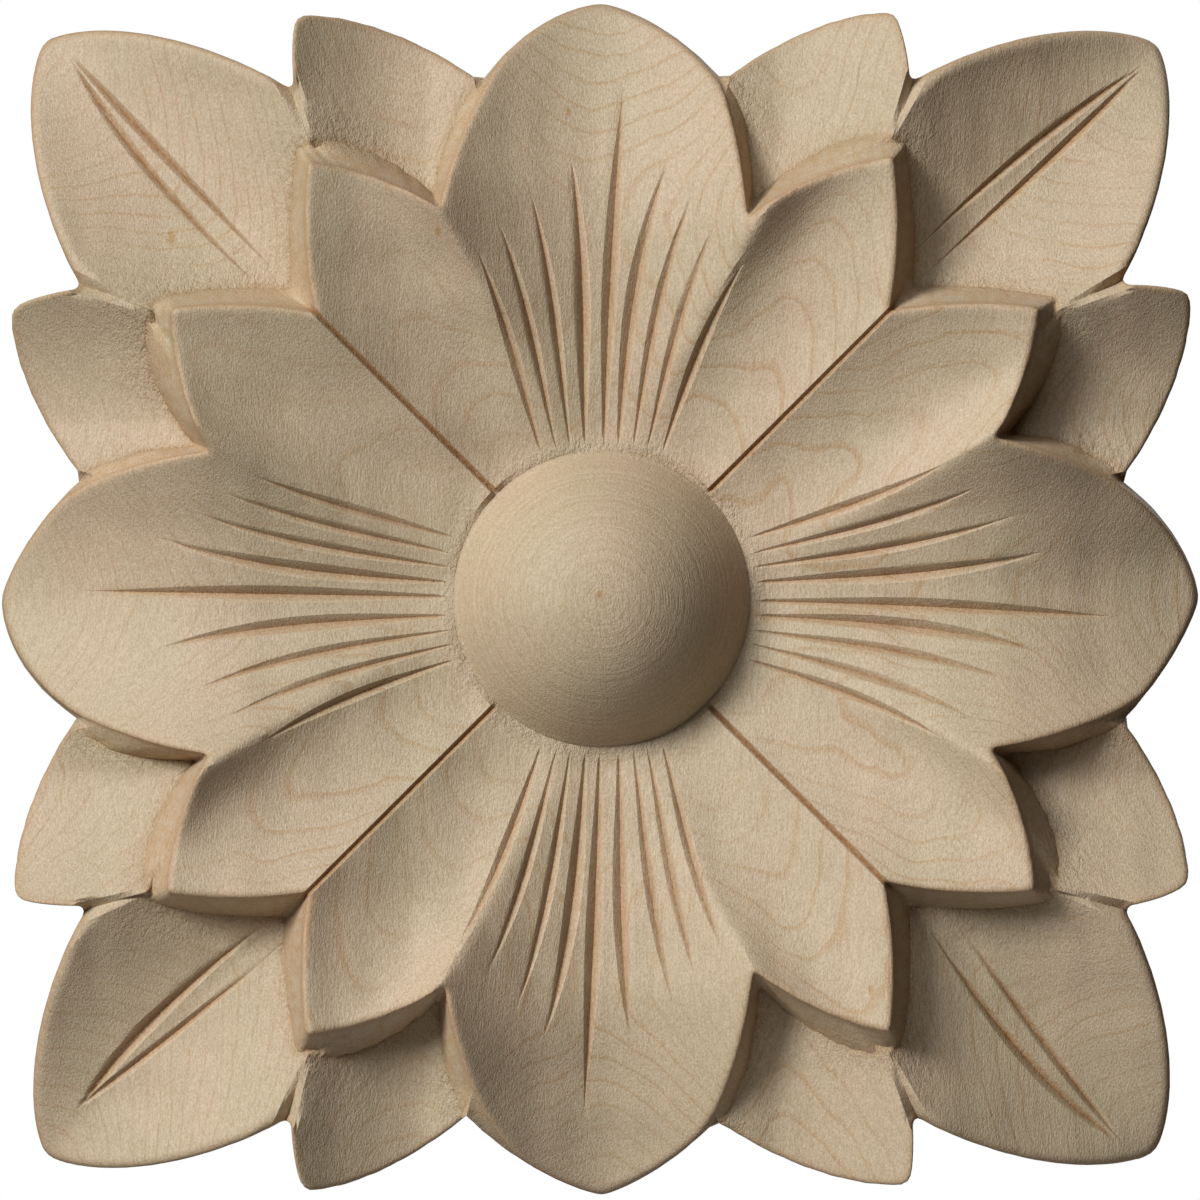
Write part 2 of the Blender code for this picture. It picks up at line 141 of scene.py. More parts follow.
# Flutes: turns of the nine outer ends on each petal, clockwise from the top, and their reach
FLUTE_TURNS = ((-19.7, -15.4, -10.0, -4.0, 2.4, 8.6, 12.7, 16.9, 23.0),
               (-21.6, -16.7, -11.4, -6.1, 2.0, 6.9, 11.3, 18.0, 22.4),
               (-18.8, -14.0, -10.1, -3.8, 2.0, 7.6, 11.8, 17.2, 22.6),
               (-23.0, -17.6, -12.6, -6.3, 0.9, 7.8, 12.1, 15.8, 19.6))
FLUTE_REACHES = (66.0, 56.5, 53.0, 50.0, 47.0)
FLUTE_ROOT_TURNS = (0.8, 6.0, 11.6, 16.8, 22.4)
FLUTE_ROOT_REACH = 20.6
FLUTE_EDGE_TURNS = (0.0, 5.6, 10.4, 16.2)
FLUTE_BOW = 1.3
FLUTE_HALF_WIDTHS = (1.12, 1.08, 0.78, 0.74, 0.80)
FLUTE_SLOPE = 0.85
FLUTE_WIDEST = 0.5
FLUTE_ROOT_WIDTH = 0.28
FLUTE_OPENING = 1.3
FLUTE_CLOSING = 1.7

# The straight cut between side petals, and the two slits in each corner leaf: how far each
# slit is turned from the corner's diagonal at its outer and at its inner end
CUT_HALF_WIDTH = 0.45
CUT_DEPTH = 0.75
SLIT_TURNS = (((0.35, -3.1), (0.5, -0.1)),
              ((1.2, -3.1), (1.4, 0.0)),
              ((0.95, -2.3), (0.6, 0.9)),
              ((0.56, -2.6), (0.65, 0.05)))
SLIT_OUTER_REACHES = (97.0, 96.0, 94.5, 97.5)
SLIT_INNER_REACH = 58.0
SLIT_BOWS = ((0.3, 0.35), (-0.74, 1.5), (-0.1, 1.15), (0.7, 0.0))
SLIT_HALF_WIDTHS = ((0.70, 0.75), (0.70, 0.95), (0.65, 1.00), (0.75, 0.70))
SLIT_SKEW = 0.7

# Lines of the net over an eighth, and the parts that each space between two of them is cut into
FLOWER_START = 19.6
LEAF_START = 57.0
LEAST_TURN = 0.12
FLUTE_LINE_START = 1.06
FLUTE_LINE_SPREAD = 13.0
PETAL_LINES = 8
SIDE_INNER_SHARES = (0.22, 0.45, 0.68, 0.77, 0.86, 1.0)
SIDE_OUTER_SHARES = (0.20, 0.40, 0.58, 0.72, 0.82, 0.91, 1.0)
NOTCH_SHARES = (0.25, 0.36, 0.47, 0.70, 0.88, 1.0)
WALL_SHARES = (0.08, 0.30, 0.56)
LEAF_SHARES = (0.14, 0.20, 0.26, 0.40, 0.54, 0.61, 0.68, 0.83, 1.0)
SLIT_SHARES = (0.27, 0.54, 0.79)
SPACE_PARTS = (3, 8, 3, 3, 7, 3, 3, 5, 4, 3, 3, 4, 4, 3, 3,
               5, 4, 6, 4, 4, 7, 5, 4, 4, 4, 3, 3, 3, 3)
NOTCH_LINE_POWER = 4
BEYOND_FORK = 3.6
VALLEY_LINE = 19
EIGHTHS = 8

# Rows of the net
BOSS_ROWS = 13
FLOWER_ROWS = 40
WALL_ROWS = 4
LEAF_ROWS = 25
BACK_ROWS = 3
EDGE_STEPS = (0.68, 0.42, 0.22, 0.08, 0.0)
EDGE_SPREAD = 1.5
FLOWER_ROUNDING = 1.0
RIM_ROUNDING = 0.6
CORNER_ROUNDING = 0.5
NOTCH_ROUNDING = 1.0
NOTCH_ROUNDING_SPREAD = 5.0
FOOT_WIDTH = 0.45
FOOT_DEPTH = 0.06
FOOT_WAVES = ((2.9, 0.20), (1.3, 0.10))
EDGE_WAVES = ((4.7, 0.04), (2.1, 0.025))
WAVE_START = 1.7
WAVE_WANDER = 0.8
CALM_TURN = 2.0
CALM_LEAST = 0.2
FLOWER_SOFTNESS = 0.5
FOOT_SOFTNESS = 0.4
RIM_SOFTNESS = 0.6
SOFT_STEPS = 7
MARKS = ("cut", "rim", "wall", "boss", "rough", "foot")
FOOT_MARK = 0.55
RIM_MARK = 1.0
# How strongly the depth of a flute, cut or slit darkens the wood: partly end grain, partly painted
# shade in the groove
FLUTE_MARK = 0.8
FLUTE_DARKENING = 3.0
CUT_DARKENING = 2.0
ROUGH_SPREAD = 5.0
ROOT_ROUGH_SPREAD = 1.5
BOSS_ROUGH_POWER = 40
WALL_ROUGH_POWER = 3
WALL_FOOT_POWER = 6
CORNER_TURN = 3.0
NO_FOOT = 9.0
# The wall's foot runs level where it crosses the valley: how far it is evened out, and how wide
LEVEL_TURN = 3.0
LEVEL_STEPS = 13
LEVEL_WIDTH = 1.5
WELD = 0.004
SHARP_TURN = 25.0

# The wood: colours of its ground, what its lines multiply them by, the end grain and painted shade of
# cuts, walls and feet, and its growth rings
YELLOWISH = (0.520, 0.415, 0.272, 1.0)
PINKISH = (0.550, 0.415, 0.280, 1.0)
RING_TINT = (0.88, 0.76, 0.62, 1.0)
FIBRE_TINT = (0.86, 0.82, 0.76, 1.0)
SPECKLE_TINT = (0.84, 0.81, 0.76, 1.0)
# Flutes, cuts and slits: brown of end grain, and painted shade that deepens towards the bottom of each
# groove
CUT_GRAIN_AND_SHADE = (0.66, 0.44, 0.26, 1.0)
# Walls under the flower's edge and round the outline: brown of end grain, and painted shade
WALL_GRAIN_AND_SHADE = (0.94, 0.84, 0.72, 1.0)
# The crease at each wall's foot: a faint ragged brown line, and painted shade in the crease
FOOT_LINE_AND_SHADE = (0.90, 0.80, 0.68, 1.0)
PIN_TINT = (0.78, 0.58, 0.30, 1.0)
RIM_TINT = (0.90, 0.79, 0.69, 1.0)
RING_WIDTH = 1.3
RING_BEND = 0.0016
RING_CLOUD = (32.0, 32.0, 60.0)
RING_SHIFT = 9.0
RING_RIPPLE = (5.0, 5.0, 9.0)
RING_RIPPLE_SHIFT = 0.5
RING_STRENGTH = (30.0, 6.0, 40.0)
RING_FADE = (-0.07, 0.04)
# Sizes of the patterns in the wood: across, through and up
PATCHES = (14.0, 14.0, 26.0)
FIBRES = (0.28, 0.28, 2.4)
FIBRE_DRIFT = (18.0, 18.0, 30.0)
SPECKLES = (0.20, 0.20, 0.36)
BEADS = (0.6, 0.6, 0.6)
STREAKS = (1.2, 9.0, 1.2)
FUZZ = (1.0, 1.0, 1.5)
CIRCLES = (0.55, 1.0, 1.0)
# How far the fibres drift, how dull the wood is, its sheen, and how deep grain and fuzz reach
FIBRE_SHIFT = 4.0
ROUGHNESS = 0.62
SHEEN = 0.3
GRAIN_DEPTH = 0.12
FUZZ_DEPTH = 0.55
# Pin marks: how far across and up they lie, and their size; they are longer than wide
PINS = ((-54.8, 46.0, 0.8), (-20.7, 46.4, 0.5), (-4.3, 62.1, 0.5),
        (33.9, -49.2, 0.6), (-0.3, 0.6, 0.5))
PIN_LENGTH = 1.8
THROUGH_ALL = 1e6

# Camera: film width and lens as a photographer gives them, and its place in metres
FILM_WIDTH = 36.0
LENS = 220.7
CAMERA_PLACE = (-0.000255, -0.95, -0.00013)

# Lamps: name, turn clockwise from straight above, height above the face, energy, softness, colour
LAMPS = (("key", -54.0, 43.0, 3.42, 18.0, (1.0, 1.05, 1.12)),
         ("top", -20.0, 50.0, 0.75, 30.0, (1.0, 1.06, 1.16)),
         ("low", -150.0, 50.0, 0.04, 30.0, (1.0, 0.9, 0.8)),
         ("behind", 40.0, -50.0, 0.8, 40.0, (1.0, 1.0, 1.0)))
GLOW = (0.025, 0.0185, 0.0115, 1.0)
BACKDROP = (1.0, 1.0, 1.0, 1.0)
# The floor in metres: its height, and its left, front, right and back edge
FLOOR_HEIGHT = -0.7
FLOOR_EDGES = (-0.45, -0.6, 0.45, 0.4)
FLOOR_PAINT = (0.8, 0.8, 0.8, 1.0)

# Unevenness left by the hand: waves of these lengths, and their height
WAVE_LENGTHS = (13.0, 8.0, 5.0)
WAVE_HEIGHTS = (0.09, 0.06, 0.03)
WAVES_EACH = 6
BOSS_CALM = 0.65
SEED = 7


def bend(value, knee, spread):
    """Nearly nothing below the knee and nearly value - knee above it, with a soft turn."""
    past = value - knee
    return 0.5 * (past + np.sqrt(past ** 2 + spread ** 2))


def softer_least(first, second, softness):
    """The lower of two heights, with the ridge where they cross rounded off."""
    return 0.5 * (first + second - np.sqrt((first - second) ** 2 + softness ** 2))


def petal_and_side(eighth):
    """Number of the petal that an eighth belongs to, and +1 where it runs on clockwise."""
    return (eighth + 1) // 2 % 4, 1 if eighth % 2 == 0 else -1


def between(turn, start, end, power=1.0, from_end=False):
    """Reach between two corners of an outline, along a power curve; a power of 1 goes evenly."""
    part = np.clip((turn - start[0]) / (end[0] - start[0]), 0.0, 1.0)
    share = 1.0 - (1.0 - part) ** power if from_end else part ** power
    return start[1] + (end[1] - start[1]) * share


def outer_edge(eighth, turn):
    """Reach of the whole outline: petal, small leaf, then corner leaf."""
    petal, _ = petal_and_side(eighth)
    tip, notch = (0.0, PETAL_REACH[petal]), PETAL_NOTCH[eighth]
    small, fork = SMALL_TIP[eighth], LEAF_NOTCH[eighth]
    corner = (DIAGONAL, CORNER_REACHES[eighth // 2])
    pieces = [between(turn, tip, notch, OUTLINE_POWERS[eighth]),
              between(turn, notch, small, SMALL_RISE_POWER, True),
              between(turn, small, fork, SMALL_FALL_POWER),
              between(turn, fork, corner, CORNER_POWER, True)]
    return np.select([turn <= notch[0], turn <= small[0], turn <= fork[0]], pieces[:3], pieces[3])


def flower_edge(eighth, turn):
    """Reach of the flower's own edge: petal, then side petal out to its tip and back to the cleft."""
    petal, _ = petal_and_side(eighth)
    tip, notch = (0.0, PETAL_REACH[petal] - PETAL_INSET), SIDE_NOTCH[eighth]
    shoulder = (PETAL_NOTCH[eighth][0], PETAL_NOTCH[eighth][1] - SHOULDER_GAPS[eighth])
    side, cleft = SIDE_TIP[eighth], (DIAGONAL, CLEFT_REACHES[eighth // 2])
    beside_tip = np.minimum(between(turn, tip, shoulder, PETAL_POWERS[eighth]),
                            outer_edge(eighth, turn) - PETAL_INSET)
    pieces = [beside_tip, between(turn, shoulder, notch), between(turn, notch, side, SIDE_POWER, True)]
    return np.select([turn <= shoulder[0], turn <= notch[0], turn <= side[0]], pieces,
                     between(turn, side, cleft))


def wall_foot(eighth, turn):
    """Reach at which the wall under the flower's edge meets the leaves."""
    start = PETAL_NOTCH[eighth]
    notch = (SIDE_NOTCH[eighth][0], SIDE_NOTCH[eighth][1] + WALL_SPREAD["side_notch"])
    side = (SIDE_TIP[eighth][0] + SIDE_FOOT_TURN, SIDE_TIP[eighth][1] + WALL_SPREAD["side_tip"])
    cleft = (DIAGONAL, CLEFT_REACHES[eighth // 2] + WALL_SPREAD["cleft"])
    pieces = [outer_edge(eighth, turn), between(turn, start, notch, FOOT_POWERS[eighth]),
              between(turn, notch, side, SIDE_FOOT_POWER, True)]
    return np.select([turn <= start[0], turn <= notch[0], turn <= side[0]], pieces,
                     between(turn, side, cleft))


def softened(edge, eighth, turn, spread):
    """An edge with its corners eased: the mean of its reach at a few turns across the spread."""
    total = 0.0
    for step in np.linspace(-spread, spread, SOFT_STEPS):
        total = total + edge(eighth, DIAGONAL - np.abs(DIAGONAL - np.abs(turn + step)))
    return total / SOFT_STEPS


def uneven_edge(eighth, turn, reach, waves):
    """Small waves along an edge, from the length of arc; they die out where two eighths meet."""
    arc = np.radians(turn) * reach
    total = np.zeros_like(arc)
    for length, size in waves:
        wander = WAVE_START * eighth + WAVE_WANDER * np.sin(arc / length)
        total = total + size * np.sin(2.0 * math.pi * arc / length + wander)
    return total * np.sin(math.pi * np.clip(turn / DIAGONAL, 0.0, 1.0))


def flat_place(turn, reach):
    """Place across and up: the reach times the sine and the cosine of the turn."""
    return np.stack((reach * np.sin(np.radians(turn)), reach * np.cos(np.radians(turn))), axis=-1)


def gap_to_edge(turn, reach, edge_turn, edge_reach):
    """Distance in from an edge: from each place to the nearest point of the edge's straight pieces."""
    place, corners = flat_place(turn, reach)[:, None], flat_place(edge_turn, edge_reach)
    start, run = corners[:-1], np.diff(corners, axis=0)
    share = np.sum((place - start) * run, axis=-1) / np.maximum(np.sum(run * run, axis=-1), 1e-12)
    nearest = start + np.clip(share, 0.0, 1.0)[..., None] * run
    return np.sqrt(np.min(np.sum((place - nearest) ** 2, axis=-1), axis=1))


def flute_turn(eighth, flute, reach):
    """Turn of a flute's middle: it starts at the boss, bows inwards and then splays to its tip."""
    petal, side = petal_and_side(eighth)
    end = side * FLUTE_TURNS[petal][4 + side * flute]
    root = FLUTE_ROOT_TURNS[flute] if flute else side * FLUTE_ROOT_TURNS[0]
    last = FLUTE_EDGE_TURNS[flute] if flute < 4 else SIDE_NOTCH[eighth][0]
    tip_reach = FLUTE_REACHES[flute]
    edge_reach = flower_edge(eighth, last)
    along = np.clip((reach - FLUTE_ROOT_REACH) / (tip_reach - FLUTE_ROOT_REACH), 0.0, 1.0)
    bow = FLUTE_BOW * 4.0 * along * (1.0 - along) if flute else 0.0
    beyond = np.clip((reach - tip_reach) / (edge_reach - tip_reach), 0.0, 1.0)
    return root + (end - root) * along - bow + (last - end) * beyond


def flute_half_width(flute, reach):
    """Half the width of a flute: thin at the boss, widest at its middle, pointed at its outer end."""
    along = (reach - FLUTE_ROOT_REACH) / (FLUTE_REACHES[flute] - FLUTE_ROOT_REACH)
    inside = np.clip(along, 0.0, 1.0)
    swell = np.sin(0.5 * math.pi * np.minimum(inside / FLUTE_WIDEST, 1.0)) ** FLUTE_OPENING
    opening = FLUTE_ROOT_WIDTH + (1.0 - FLUTE_ROOT_WIDTH) * swell
    closing = 1.0 - np.clip((inside - FLUTE_WIDEST) / (1.0 - FLUTE_WIDEST), 0.0, 1.0) ** FLUTE_CLOSING
    full = np.where((along > 0.0) & (along < 1.0), opening * closing, 0.0)
    return FLUTE_HALF_WIDTHS[flute] * full


def slit_turn(eighth, reach):
    """Turn of the middle of the slit that lies in this eighth of a corner leaf."""
    _, side = petal_and_side(eighth)
    outer, inner = SLIT_TURNS[eighth // 2][eighth % 2]
    start = SLIT_OUTER_REACHES[eighth // 2]
    part = np.clip((start - reach) / (start - SLIT_INNER_REACH), 0.0, 1.0)
    bow = SLIT_BOWS[eighth // 2][eighth % 2] * 4.0 * part * (1.0 - part)
    return DIAGONAL + side * (outer + (inner - outer) * part) - bow


def slit_half_width(eighth, reach):
    """Half the width of a slit: pointed at both ends and widest a third of the way in."""
    start = SLIT_OUTER_REACHES[eighth // 2]
    part = (start - reach) / (start - SLIT_INNER_REACH)
    full = np.sin(math.pi * np.clip(part, 0.0, 1.0) ** SLIT_SKEW)
    return SLIT_HALF_WIDTHS[eighth // 2][eighth % 2] * full


def rib_turn(eighth, reach):
    """Turn of the rib between the two slits of a corner leaf, seen from this eighth."""
    _, side = petal_and_side(eighth)
    mate = eighth + side
    here, there = slit_turn(eighth, reach), 2.0 * DIAGONAL - slit_turn(mate, reach)
    return 0.5 * (here + there)


def groove(across, half_width):
    """Share of a V cut's depth at a distance across it: 1 in the middle and 0 from its shoulders on."""
    return np.clip(1.0 - np.abs(across) / np.maximum(half_width, 1e-6), 0.0, 1.0)


def arc_across(turn, middle, reach):
    """Length of arc from a middle line to a place at the same reach."""
    return np.radians(turn - middle) * reach


def boss_height(reach):
    """A dome that steepens towards its foot."""
    return BOSS_HEIGHT * (1.0 - (reach / BOSS_RADIUS) ** BOSS_POWER)


def flower_height(eighth, turn, reach):
    """Hollow petal and hollow side petal, whichever is lower, less the flutes and the cut.

    The second value is how deep each place lies in a flute or the cut, from 0 to 1; it darkens the wood
    there, partly as end grain and partly as painted shade.
    """
    across, out = reach * np.sin(np.radians(turn)), reach * np.cos(np.radians(turn))
    petal = (PETAL_RISE * (out - BOSS_RADIUS) - PETAL_DROOP * bend(out, PETAL_KNEE, PETAL_KNEE_SPREAD)
             + PETAL_SIDE_RISE * (np.abs(across) / PETAL_HALF_WIDTH) ** HOLLOW_POWER)
    off = reach * np.sin(np.radians(turn - SIDE_AXIS))
    length = reach * np.cos(np.radians(turn - SIDE_AXIS)) - BOSS_RADIUS
    to_crest = (SIDE_CREST_RISE * (np.maximum(-off, 0.0) / SIDE_CREST_WIDTH) ** CREST_POWER
                * (reach / SIDE_CREST_REACH) ** CREST_REACH_POWER)
    to_diagonal = SIDE_DIAGONAL_RISE * (np.maximum(off, 0.0) / SIDE_DIAGONAL_WIDTH) ** HOLLOW_POWER
    side = SIDE_CLIMB * length + SIDE_CURL * length ** 2 + to_crest + to_diagonal
    height = softer_least(petal, side, CREST_SOFTNESS)
    height = height + ROOT_FILLET * np.exp(-(reach - BOSS_RADIUS))
    depth = np.zeros_like(height)
    for flute in range(5):
        half_width = flute_half_width(flute, reach)
        gap = arc_across(turn, flute_turn(eighth, flute, reach), reach)
        share = groove(gap, half_width)
        height = height - FLUTE_SLOPE * half_width * share
        depth = np.maximum(depth, FLUTE_MARK * share * np.minimum(FLUTE_DARKENING * half_width, 1.0))
    share = groove(arc_across(turn, DIAGONAL, reach), CUT_HALF_WIDTH)
    return height - CUT_DEPTH * share, np.maximum(depth, np.minimum(CUT_DARKENING * share, 1.0))


def valley_turn(eighth, reach):
    """Turn of the valley where a small leaf lies against a corner leaf, and its share outwards."""
    notch = LEAF_NOTCH[eighth]
    inner = (SIDE_TIP[eighth][0] - VALLEY_START, SIDE_TIP[eighth][1] + WALL_SPREAD["side_tip"])
    part = np.clip((notch[1] - reach) / (notch[1] - inner[1]), 0.0, 1.0)
    return notch[0] + (inner[0] - notch[0]) * part, 1.0 - part


def grown(ends, share):
    """Value at a share of the way from the first end to the second."""
    return ends[0] + (ends[1] - ends[0]) * share


def leaf_height(eighth, turn, reach):
    """Small leaf before the valley and corner leaf after it, both hollow, less valley and slit.

    The second value is how deep each place lies in the slit, from 0 to 1; it darkens the wood there,
    partly as end grain and partly as painted shade.
    """
    across, out = reach * np.sin(np.radians(turn)), reach * np.cos(np.radians(turn))
    small = (SMALL_HEIGHT - SMALL_FALL * (out - SMALL_REACH)
             + SMALL_RIM_RISE * (np.maximum(across - SMALL_AXIS, 0.0) / SMALL_RIM_WIDTH) ** HOLLOW_POWER
             + SMALL_INNER_RISE * np.maximum(SMALL_AXIS - across, 0.0) ** SMALL_INNER_POWER)
    half = math.sqrt(0.5)
    along, off = (across + out) * half, np.abs(out - across) * half
    beside = np.minimum(off, CORNER_RIM) / CORNER_HALF_WIDTH
    corner = (CORNER_HEIGHT - CORNER_FALL * (along - CORNER_REACH)
              + CORNER_SIDE_RISE * beside ** CORNER_SIDE_POWER
              - CORNER_TIP_DROOP * bend(along, CORNER_TIP_KNEE, CORNER_TIP_SPREAD))
    valley, outwards = valley_turn(eighth, reach)
    height = np.where(turn <= valley, small, corner)
    gap = arc_across(turn, valley, reach)
    width = np.where(gap < 0.0, grown(VALLEY_WALLS, outwards), grown(VALLEY_BEVELS, outwards))
    dip = grown(VALLEY_DEPTHS, outwards) * groove(gap, width)
    half_width = slit_half_width(eighth, reach)
    share = groove(arc_across(turn, slit_turn(eighth, reach), reach), half_width)
    return height - dip - half_width * share, share * np.minimum(CUT_DARKENING * half_width, 1.0)


def in_order(turns):
    """Turns across an eighth, each moved where it would touch the next one; the last one stays."""
    pushes = LEAST_TURN * np.arange(len(turns))
    pushed_on = np.maximum.accumulate(np.asarray(turns) - pushes) + pushes
    return np.minimum(pushed_on, turns[-1] - pushes[::-1])


def finely(lines):
    """Turns of all columns: the space between two lines is cut into its number of equal parts."""
    starts = np.concatenate(([0.0], np.cumsum(SPACE_PARTS)))
    return np.interp(np.arange(starts[-1] + 1), starts, lines)


def steps(start, end, shares):
    """Values at these shares of the way from start to end."""
    return [start + (end - start) * share for share in shares]


def flower_lines(eighth, part):
    """Turns of the net's lines over an eighth of the flower, part of the way out to its edge."""
    notch, tip = SIDE_NOTCH[eighth][0], SIDE_TIP[eighth][0]
    lines = []
    for flute in range(5):
        last = FLUTE_EDGE_TURNS[flute] if flute < 4 else notch
        reach = FLOWER_START + part * (flower_edge(eighth, last) - FLOWER_START)
        middle = flute_turn(eighth, flute, reach)
        half = math.degrees(flute_half_width(flute, reach) / reach)
        half += FLUTE_LINE_SPREAD * max(reach / FLUTE_REACHES[flute] - FLUTE_LINE_START, 0.0)
        lines += [middle - half, middle, middle + half]
    lines = lines[1:]
    before, after = lines[:PETAL_LINES], lines[PETAL_LINES:]
    gap = 0.5 * (before[-1] + after[0])
    gap += (PETAL_NOTCH[eighth][0] - gap) * part ** NOTCH_LINE_POWER
    crest = 0.5 * (after[2] + after[3])
    lines = before + [gap] + after[:3] + [crest] + after[3:]
    lines += steps(lines[-1], tip, SIDE_INNER_SHARES)
    cleft = FLOWER_START + part * (CLEFT_REACHES[eighth // 2] - FLOWER_START)
    edge = DIAGONAL - math.degrees(CUT_HALF_WIDTH / cleft)
    return in_order(lines + steps(tip, edge, SIDE_OUTER_SHARES) + [DIAGONAL])


def leaf_lines(eighth, part, valley_reach):
    """Turns of the same lines over the leaves, from the foot of the wall out to the outline.

    Three of them follow the valley and its two sides at the reach that the row has there.
    """
    petal_notch, side_notch = PETAL_NOTCH[eighth][0], SIDE_NOTCH[eighth][0]
    fork, small = LEAF_NOTCH[eighth][0], SMALL_TIP[eighth][0]
    valley, outwards = valley_turn(eighth, valley_reach)
    wall = math.degrees(grown(VALLEY_WALLS, outwards) / valley_reach)
    bevel = math.degrees(grown(VALLEY_BEVELS, outwards) / valley_reach)
    top = list(flower_lines(eighth, 1.0))
    inner = top[:PETAL_LINES] + [petal_notch] + steps(petal_notch, side_notch, NOTCH_SHARES)
    inner += steps(side_notch, SIDE_TIP[eighth][0] - VALLEY_START, WALL_SHARES)
    outer = top[:PETAL_LINES] + [petal_notch] + steps(petal_notch, small, LEAF_SHARES)
    lines = [a + (b - a) * part for a, b in zip(inner, outer)]
    last = SIDE_TIP[eighth][0] + SIDE_FOOT_TURN
    lines += [valley - wall, valley, valley + bevel, last + (fork + BEYOND_FORK - last) * part]
    reach = LEAF_START + part * (SLIT_OUTER_REACHES[eighth // 2] - LEAF_START)
    slit, rib = slit_turn(eighth, reach), rib_turn(eighth, reach)
    half = math.degrees(slit_half_width(eighth, reach) / reach)
    lines += steps(lines[-1], slit - half, SLIT_SHARES)
    return in_order(lines + [slit - half, slit, slit + half, 0.5 * (slit + half + rib), rib])


def rounded_off(gap, radius):
    """Drop of a rounded edge at a distance in from it: a quarter of a circle of this radius."""
    over = 1.0 - np.clip(gap / radius, 0.0, 1.0)
    return radius * (1.0 - np.sqrt(1.0 - over ** 2))


def row(turn, reach, height, **marks):
    """One row of the net: turn, reach and height, then its marks in the order of MARKS, from 0 to 1."""
    return np.stack([turn, reach, height] + [marks.get(name, 0.0) + 0.0 * reach for name in MARKS])


def boss_rows(eighth):
    """Rows from near the top of the boss to its foot, closer together as it steepens."""
    turn = finely(flower_lines(eighth, 0.0))
    rows = []
    for share in np.sin(np.linspace(0.0, 0.5 * math.pi, BOSS_ROWS + 1)[1:]):
        reach = np.full(len(turn), BOSS_RADIUS * share)
        rows.append(row(turn, reach, boss_height(reach), boss=1.0, rough=share ** BOSS_ROUGH_POWER))
    return rows


def flower_rows(eighth):
    """Rows over the flower, with the last few bent down over its rounded edge."""
    edge_turn = finely(flower_lines(eighth, 1.0))
    edge = softened(flower_edge, eighth, edge_turn, FLOWER_SOFTNESS)
    edge = edge + uneven_edge(eighth, edge_turn, edge, EDGE_WAVES)
    rows = []
    parts = [(part, 1.0) for part in np.linspace(0.0, 1.0, FLOWER_ROWS + 1)]
    for part, step in parts + [(1.0, step) for step in EDGE_STEPS]:
        turn = finely(flower_lines(eighth, part))
        reach = FLOWER_START + part * (edge - EDGE_SPREAD * FLOWER_ROUNDING * step - FLOWER_START)
        height, cut = flower_height(eighth, turn, reach)
        gap = gap_to_edge(turn, reach, edge_turn, edge)
        height = height - rounded_off(gap, FLOWER_ROUNDING)
        rows.append(row(turn, reach, height, cut=cut, rim=1.0 - np.clip(gap / RIM_MARK, 0.0, 1.0),
                        rough=np.exp(-(reach - FLOWER_START) / ROOT_ROUGH_SPREAD)))
    return rows


def leaf_rows(eighth):
    """Rows over the leaves, with the last few bent down over the rounded rim."""
    start, end = SIDE_TIP[eighth][1] + WALL_SPREAD["side_tip"], LEAF_NOTCH[eighth][1]
    foot_turn, rim_turn = finely(leaf_lines(eighth, 0.0, start)), finely(leaf_lines(eighth, 1.0, end))
    valley = sum(SPACE_PARTS[:VALLEY_LINE])
    foot = softened(wall_foot, eighth, foot_turn, FOOT_SOFTNESS)
    past_notch = np.clip((foot_turn - PETAL_NOTCH[eighth][0]) / CALM_TURN, CALM_LEAST, 1.0)
    foot = foot + past_notch * uneven_edge(eighth, foot_turn, foot, FOOT_WAVES)
    rim = softened(outer_edge, eighth, rim_turn, RIM_SOFTNESS)
    rim = rim + uneven_edge(eighth, rim_turn, rim, EDGE_WAVES)
    past = rim_turn - LEAF_NOTCH[eighth][0]
    on_corner = np.clip(past / CORNER_TURN, 0.0, 1.0)
    radius = RIM_ROUNDING + CORNER_ROUNDING * on_corner
    radius = radius + NOTCH_ROUNDING * on_corner * np.exp(-past / NOTCH_ROUNDING_SPREAD)
    on_petal = rim_turn <= PETAL_NOTCH[eighth][0] + 1e-6
    inset = np.minimum(EDGE_SPREAD * radius, 0.5 * np.maximum(rim - foot, 0.0))
    rows = []
    parts = [(part, 1.0) for part in np.linspace(0.0, 1.0, LEAF_ROWS + 1)]
    parts.insert(1, (0.5 * parts[1][0], 1.0))
    for part, step in parts + [(1.0, step) for step in EDGE_STEPS]:
        reach = np.where(on_petal, foot, foot + part * (rim - inset * step - foot))
        turn = np.where(on_petal, foot_turn, finely(leaf_lines(eighth, part, reach[valley])))
        if part == parts[1][0]:
            reach = np.minimum(reach, foot + FOOT_WIDTH)
        height, cut = leaf_height(eighth, turn, reach)
        from_foot = np.where(on_petal, NO_FOOT, reach - foot)
        height = height - FOOT_DEPTH * groove(from_foot, FOOT_WIDTH)
        gap = gap_to_edge(turn, reach, rim_turn, rim)
        height = height - rounded_off(gap, radius)
        rim_mark = np.where(on_petal, 0.0, 1.0 - np.clip(gap / RIM_MARK, 0.0, 1.0))
        rows.append(row(turn, reach, height, cut=cut, rim=rim_mark, foot=np.exp(-from_foot / FOOT_MARK),
                        rough=np.exp(-(reach - foot) / ROUGH_SPREAD)))
    return rows, on_petal


